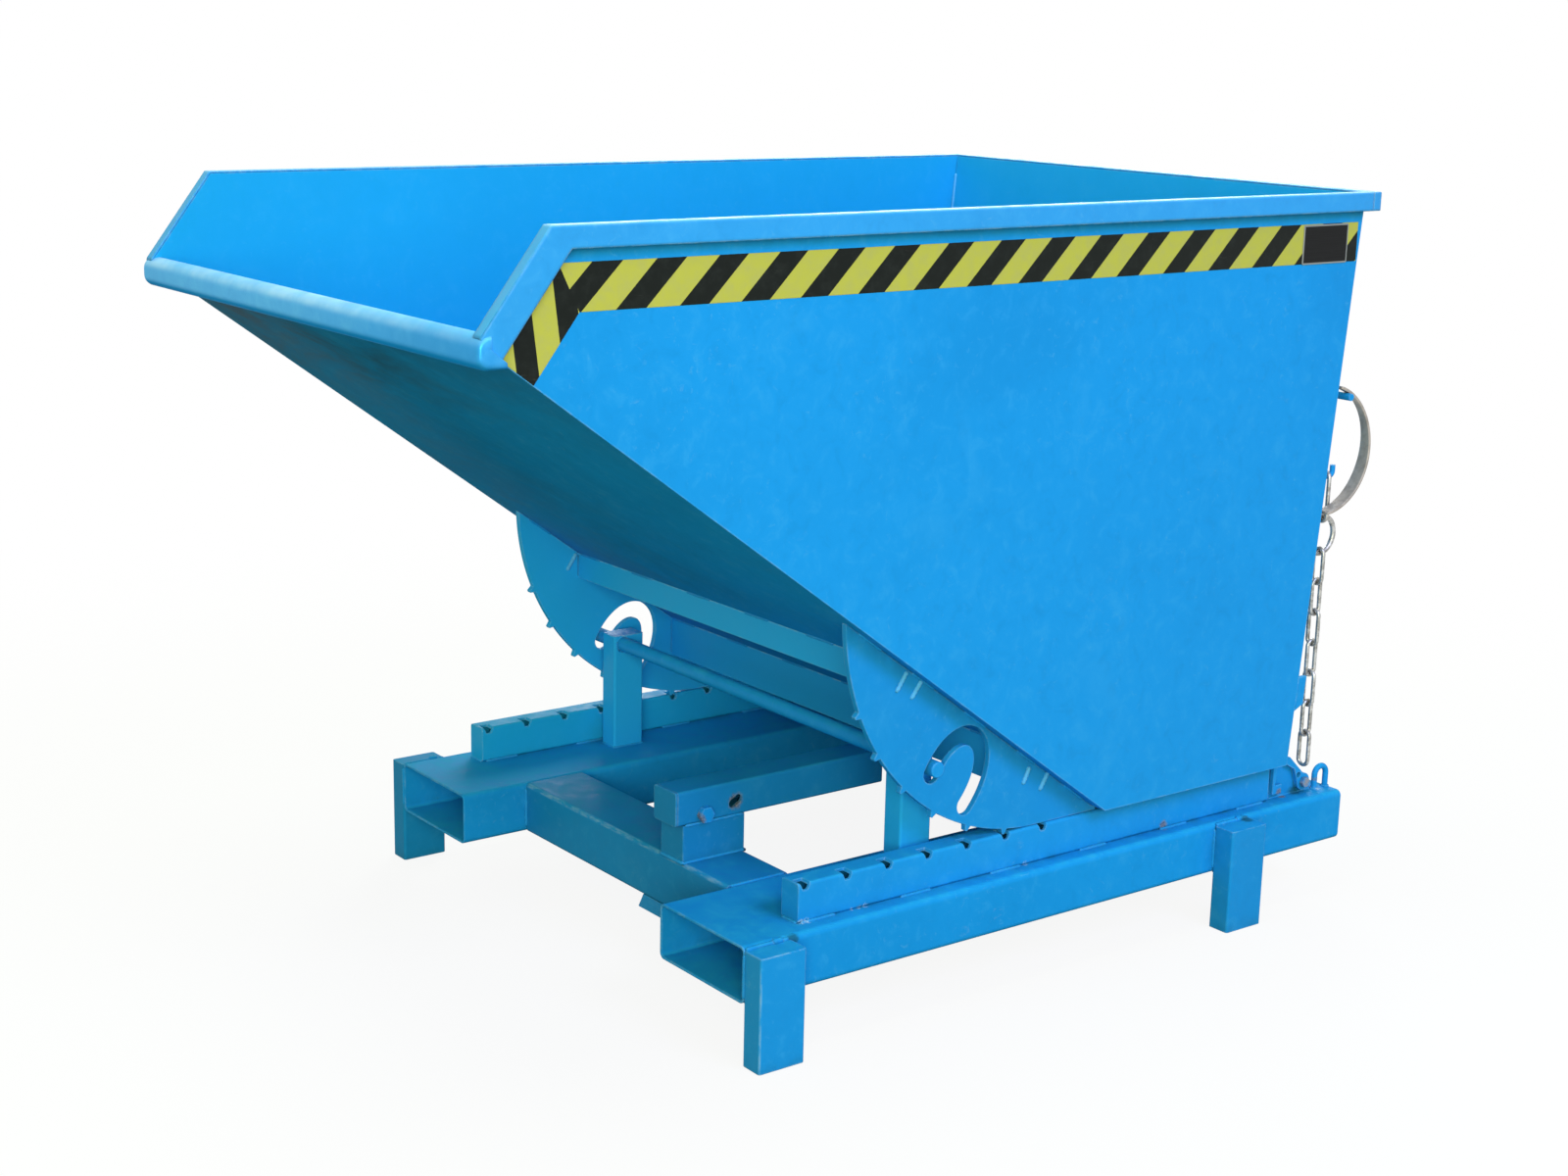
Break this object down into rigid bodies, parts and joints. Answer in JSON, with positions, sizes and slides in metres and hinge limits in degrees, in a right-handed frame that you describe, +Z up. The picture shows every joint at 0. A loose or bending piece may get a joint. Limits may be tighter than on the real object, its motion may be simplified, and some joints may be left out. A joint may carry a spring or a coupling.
{
  "type": "tipping hopper",
  "caption": "Steel tipping hopper for fork-lift trucks: an open sloping tub on toothed rockers that rolls forward along notched rails on a fork-tube frame to pour over its lip.",
  "frame": {"origin": "on the floor, at the middle of the overall length and width", "axes": "+Z up, -Y towards the pouring lip, +X towards the side with the lock and chain"},
  "size_m": [1.08, 1.684, 1.191],
  "materials": {
    "blue_paint": "worn semi-gloss sky-blue paint on sheet steel, scuffed on edges",
    "zinc_steel": "dull zinc-plated steel",
    "fastener_steel": "weathered plated steel with a little rust",
    "warning_tape": "yellow film with black diagonal stripes",
    "dark_plate": "blank dark plate with a pale edge"
  },
  "bodies": {
    "frame": {"fork_tube_right": "blue_paint", "fork_tube_left": "blue_paint", "leg_front_right": "blue_paint", "leg_front_left": "blue_paint", "leg_rear_right": "blue_paint", "leg_rear_left": "blue_paint", "cross_beam_front": "blue_paint", "cross_beam_rear": "blue_paint", "beam_strip": "blue_paint", "rail_right": "blue_paint", "rail_left": "blue_paint", "guide_post_right": "blue_paint", "guide_post_left": "blue_paint", "guide_rod": "blue_paint", "centre_beam": "blue_paint", "centre_beam_cap": "blue_paint", "centre_beam_foot": "blue_paint", "centre_beam_bolt": "fastener_steel", "lock_ear": "blue_paint", "lock_bolt": "fastener_steel", "lock_nut": "fastener_steel", "securing_eye": "blue_paint"},
    "roll_carrier": {"jig_plugs": "blue_paint"},
    "tub": {"tub_floor": "blue_paint", "tub_bottom": "blue_paint", "tub_rear_wall": "blue_paint", "tub_side_right": "blue_paint", "tub_side_left": "blue_paint", "rim_right": "blue_paint", "rim_left": "blue_paint", "rim_rear": "blue_paint", "pouring_lip": "blue_paint", "rocker_right": "blue_paint", "rocker_left": "blue_paint", "stiffener_upper": "blue_paint", "stiffener_lower": "blue_paint", "warning_tape_right": "warning_tape", "warning_tape_left": "warning_tape", "blank_plate": "dark_plate", "lock_catch": "blue_paint", "wall_tab": "blue_paint", "wall_hook": "blue_paint", "handle_staple": "blue_paint"},
    "pawl": {"lock_pawl": "blue_paint"},
    "hanger": {"hook_link": "zinc_steel"},
    "ring": {"chain_ring": "zinc_steel"},
    "chain": {"pull_chain": "zinc_steel"},
    "handle": {"pull_handle": "zinc_steel"}
  },
  "joints": [
    {"name": "tub_travel", "type": "slide", "parent": "frame", "child": "roll_carrier", "axis": [0, -1, 0], "range_m": [0, 0.4405]},
    {"name": "tub_roll", "type": "hinge", "parent": "roll_carrier", "child": "tub", "pos_m": [0, 0.155, 0.62], "axis": [1, 0, 0], "range_deg": [0, 66]},
    {"name": "pawl_turn", "type": "hinge", "parent": "frame", "child": "pawl", "pos_m": [0.465, 0.776, 0.197], "axis": [1, 0, 0], "range_deg": [0, 30]},
    {"name": "hanger_swing", "type": "hinge", "parent": "tub", "child": "hanger", "pos_m": [0.465, 0.77598, 0.7321], "axis": [1, 0, 0], "range_deg": [0, 25]},
    {"name": "ring_swing", "type": "hinge", "parent": "hanger", "child": "ring", "pos_m": [0.465, 0.77598, 0.6491], "axis": [1, 0, 0], "range_deg": [0, 25]},
    {"name": "chain_swing", "type": "hinge", "parent": "ring", "child": "chain", "pos_m": [0.465, 0.77598, 0.6027], "axis": [1, 0, 0], "range_deg": [0, 25]},
    {"name": "handle_swing", "type": "hinge", "parent": "tub", "child": "handle", "pos_m": [0.492, 0.78015, 0.86079], "axis": [1, 0, 0], "range_deg": [0, 60]}
  ],
  "couplings": [
    {"joint": "tub_travel", "follows": "tub_roll", "m_per_rad": 0.382}
  ]
}
